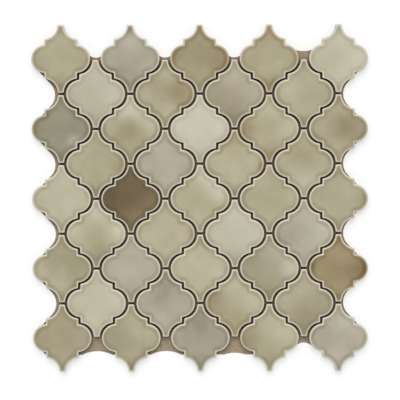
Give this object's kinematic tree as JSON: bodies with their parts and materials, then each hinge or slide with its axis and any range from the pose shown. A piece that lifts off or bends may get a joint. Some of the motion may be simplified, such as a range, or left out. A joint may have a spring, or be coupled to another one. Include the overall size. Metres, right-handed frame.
{
  "type": "moroccan arabesque tile sheet",
  "caption": "Mosaic sheet of arabesque lantern tiles with cushioned glazed faces, in half-drop rows on a thin backing sheet, for walls.",
  "frame": {"origin": "on the bed face of the backing sheet, under the centre of the middle tile", "axes": "+Z out of the glazed faces, +Y up the sheet along the tips of the tiles, +X across the rows"},
  "size_m": [0.3108, 0.321, 0.007],
  "materials": {
    "brown_backing": "matt",
    "pale_glaze": "gloss",
    "sage_glaze": "gloss",
    "olive_glaze": "gloss",
    "stone_glaze": "gloss",
    "moss_glaze": "gloss",
    "honey_glaze": "gloss",
    "umber_glaze": "gloss"
  },
  "bodies": {
    "root": {"backing_sheet": "brown_backing", "tile_row1_1": "sage_glaze", "tile_row1_2": "stone_glaze", "tile_row1_3": "olive_glaze", "tile_row1_4": "sage_glaze", "tile_row1_5": "pale_glaze", "tile_row2_1": "pale_glaze", "tile_row2_2": "olive_glaze", "tile_row2_3": "olive_glaze", "tile_row2_4": "sage_glaze", "tile_row3_1": "moss_glaze", "tile_row3_2": "olive_glaze", "tile_row3_3": "pale_glaze", "tile_row3_4": "sage_glaze", "tile_row3_5": "olive_glaze", "tile_row4_1": "sage_glaze", "tile_row4_2": "stone_glaze", "tile_row4_3": "sage_glaze", "tile_row4_4": "sage_glaze", "tile_row5_1": "pale_glaze", "tile_row5_2": "umber_glaze", "tile_row5_3": "sage_glaze", "tile_row5_4": "sage_glaze", "tile_row5_5": "sage_glaze", "tile_row6_1": "sage_glaze", "tile_row6_2": "sage_glaze", "tile_row6_3": "pale_glaze", "tile_row6_4": "stone_glaze", "tile_row7_1": "olive_glaze", "tile_row7_2": "stone_glaze", "tile_row7_3": "sage_glaze", "tile_row7_4": "olive_glaze", "tile_row7_5": "honey_glaze", "tile_row8_1": "pale_glaze", "tile_row8_2": "stone_glaze", "tile_row8_3": "sage_glaze", "tile_row8_4": "olive_glaze", "tile_row9_1": "olive_glaze", "tile_row9_2": "olive_glaze", "tile_row9_3": "stone_glaze", "tile_row9_4": "sage_glaze", "tile_row9_5": "stone_glaze"}
  },
  "joints": []
}
